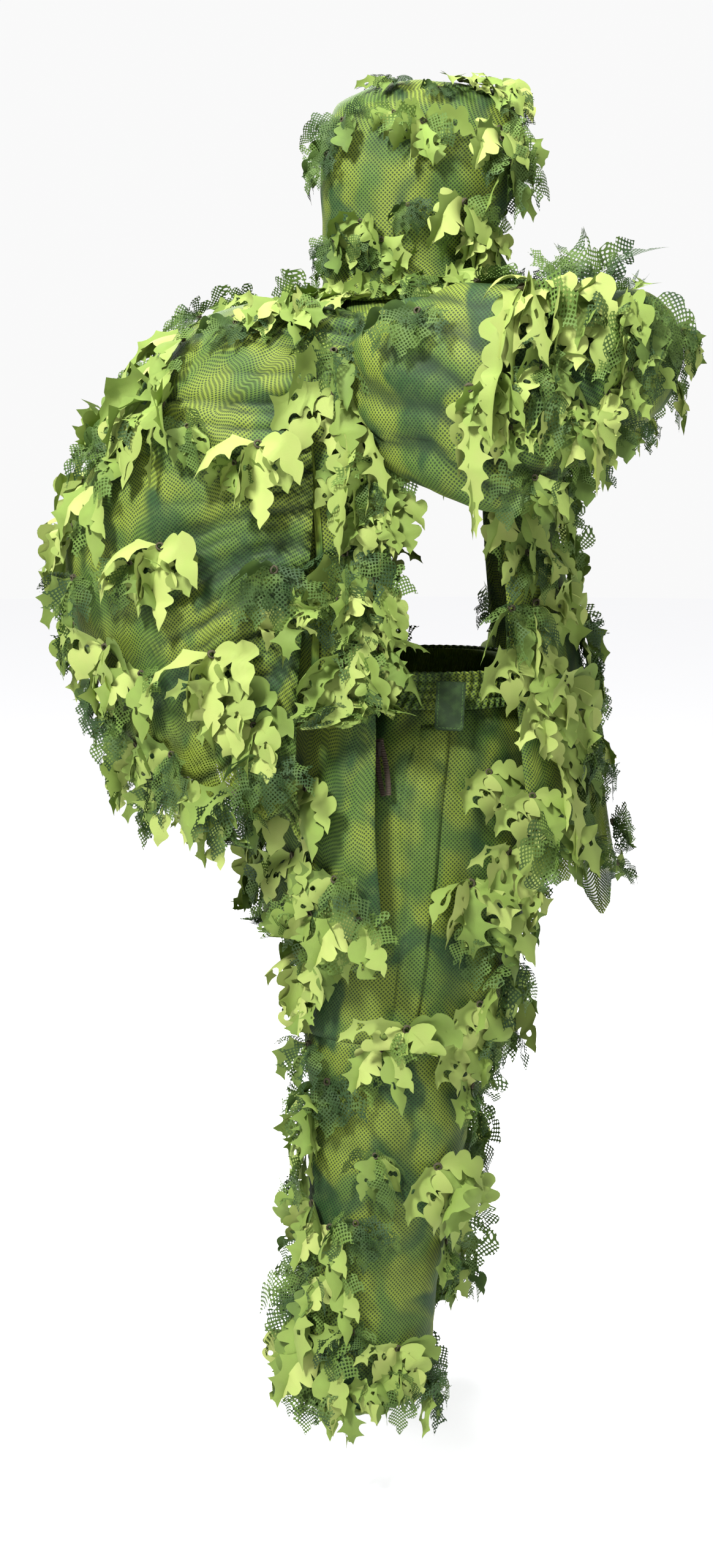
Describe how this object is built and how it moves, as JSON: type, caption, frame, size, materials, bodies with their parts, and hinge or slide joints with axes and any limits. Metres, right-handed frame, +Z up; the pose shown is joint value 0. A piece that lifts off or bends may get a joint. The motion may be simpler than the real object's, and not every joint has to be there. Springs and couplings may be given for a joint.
{
  "type": "ghillie suit",
  "caption": "Leafy mesh camouflage over-suit: hooded jacket with a rucksack pouch and open sides, and straight trousers, held in the shape it takes when worn.",
  "frame": {"origin": "centre of the waistband's top edge, where the wearer's waist holds the trousers up", "axes": "+X is the wearer's front, +Y the wearer's left, +Z up"},
  "size_m": [0.8075, 0.7488, 1.7846],
  "materials": {
    "mesh": "perforated woven mesh printed in blurred greens",
    "leaf": "matt die-cut leaf fabric, curled",
    "elastic": "gathered elastic tape",
    "webbing": "dark green webbing with a light sheen",
    "zip_tape": "brown zip tape",
    "slider": "dull brown metal"
  },
  "bodies": {
    "trousers": {"waistband": "mesh", "waist_elastic": "elastic", "seat_left": "mesh", "seat_right": "mesh", "right_pocket_zip": "zip_tape", "left_pocket_zip": "zip_tape"},
    "jacket": {"yoke": "mesh", "neck_binding": "elastic", "yoke_leaves": "leaf", "chest_panel": "mesh", "pouch_top": "mesh", "pouch_back": "mesh", "pouch_leaves": "leaf", "right_side_band": "mesh", "right_gather_elastic": "elastic", "right_band_leaves": "leaf", "right_skirt": "mesh", "right_gusset": "mesh", "left_side_band": "mesh", "left_gather_elastic": "elastic", "left_band_leaves": "leaf", "left_skirt": "mesh", "left_gusset": "mesh"},
    "front_flap": {"front_flap": "mesh", "front_flap_leaves": "leaf"},
    "pouch_lip": {"pouch_bottom": "mesh"},
    "hood": {"hood_crown": "mesh", "hood_left": "mesh", "hood_right": "mesh", "hood_leaves": "leaf"},
    "right_waist_tab": {"right_waist_tab": "webbing"},
    "right_zip_slider": {"right_zip_slider": "slider"},
    "right_thigh": {"right_thigh_front": "mesh", "right_thigh_back": "mesh", "right_side_placket": "mesh", "right_thigh_leaves": "leaf"},
    "right_shin": {"right_shin_front": "mesh", "right_shin_back": "mesh", "right_hem_elastic": "elastic", "right_shin_leaves": "leaf", "right_hem_leaves": "leaf"},
    "right_upper_sleeve": {"right_upper_sleeve": "mesh", "right_sleeve_leaves": "leaf"},
    "right_forearm": {"right_forearm_sleeve": "mesh", "right_cuff_elastic": "elastic"},
    "left_waist_tab": {"left_waist_tab": "webbing"},
    "left_zip_slider": {"left_zip_slider": "slider"},
    "left_thigh": {"left_thigh_front": "mesh", "left_thigh_back": "mesh", "left_side_placket": "mesh", "left_thigh_leaves": "leaf"},
    "left_shin": {"left_shin_front": "mesh", "left_shin_back": "mesh", "left_hem_elastic": "elastic", "left_shin_leaves": "leaf", "left_hem_leaves": "leaf"},
    "left_upper_sleeve": {"left_upper_sleeve": "mesh", "left_sleeve_leaves": "leaf"},
    "left_forearm": {"left_forearm_sleeve": "mesh", "left_cuff_elastic": "elastic"}
  },
  "joints": [
    {"name": "jacket_lift", "type": "slide", "parent": "trousers", "child": "jacket", "axis": [0, 0, 1], "range_m": [0, 0.45]},
    {"name": "hood_tip", "type": "hinge", "parent": "jacket", "child": "hood", "pos_m": [-0.136, 0, 0.513], "axis": [0, 1, 0], "range_deg": [-70, 0]},
    {"name": "front_flap_swing", "type": "hinge", "parent": "jacket", "child": "front_flap", "pos_m": [0.181, 0, 0.177], "axis": [0, 1, 0], "range_deg": [-45, 0]},
    {"name": "pouch_lip_open", "type": "hinge", "parent": "jacket", "child": "pouch_lip", "pos_m": [-0.412, 0, -0.099], "axis": [0, 1, 0], "range_deg": [0, 50]},
    {"name": "right_shoulder", "type": "hinge", "parent": "jacket", "child": "right_upper_sleeve", "pos_m": [0.02, -0.224, 0.39], "axis": [0, 1, 0], "range_deg": [-22, 15]},
    {"name": "right_elbow", "type": "hinge", "parent": "right_upper_sleeve", "child": "right_forearm", "pos_m": [0.304, -0.358, 0.401], "axis": [0, 0, -1], "range_deg": [0, 75]},
    {"name": "right_hip", "type": "hinge", "parent": "trousers", "child": "right_thigh", "pos_m": [-0.004, -0.105, -0.17], "axis": [0, 1, 0], "range_deg": [-22, 3]},
    {"name": "right_knee", "type": "hinge", "parent": "right_thigh", "child": "right_shin", "pos_m": [-0.158, -0.144, -0.585], "axis": [0, 1, 0], "range_deg": [0, 60]},
    {"name": "right_tab_lift", "type": "hinge", "parent": "trousers", "child": "right_waist_tab", "pos_m": [0.028, -0.1835, -0.006], "axis": [-0.9986, 0, 0.0523], "range_deg": [0, 150]},
    {"name": "right_zip_run", "type": "slide", "parent": "trousers", "child": "right_zip_slider", "axis": [0.1347, -0.2547, -0.9576], "range_m": [0, 0.052]},
    {"name": "left_shoulder", "type": "hinge", "parent": "jacket", "child": "left_upper_sleeve", "pos_m": [0.02, 0.224, 0.39], "axis": [0, 1, 0], "range_deg": [-22, 15]},
    {"name": "left_elbow", "type": "hinge", "parent": "left_upper_sleeve", "child": "left_forearm", "pos_m": [0.304, 0.358, 0.401], "axis": [0, 0, 1], "range_deg": [0, 75]},
    {"name": "left_hip", "type": "hinge", "parent": "trousers", "child": "left_thigh", "pos_m": [-0.004, 0.105, -0.17], "axis": [0, 1, 0], "range_deg": [-22, 3]},
    {"name": "left_knee", "type": "hinge", "parent": "left_thigh", "child": "left_shin", "pos_m": [-0.1305, 0.144, -0.585], "axis": [0, 1, 0], "range_deg": [0, 60]},
    {"name": "left_tab_lift", "type": "hinge", "parent": "trousers", "child": "left_waist_tab", "pos_m": [0.028, 0.1835, -0.006], "axis": [0.9986, 0, -0.0523], "range_deg": [0, 150]},
    {"name": "left_zip_run", "type": "slide", "parent": "trousers", "child": "left_zip_slider", "axis": [0.1347, 0.2547, -0.9576], "range_m": [0, 0.052]}
  ]
}
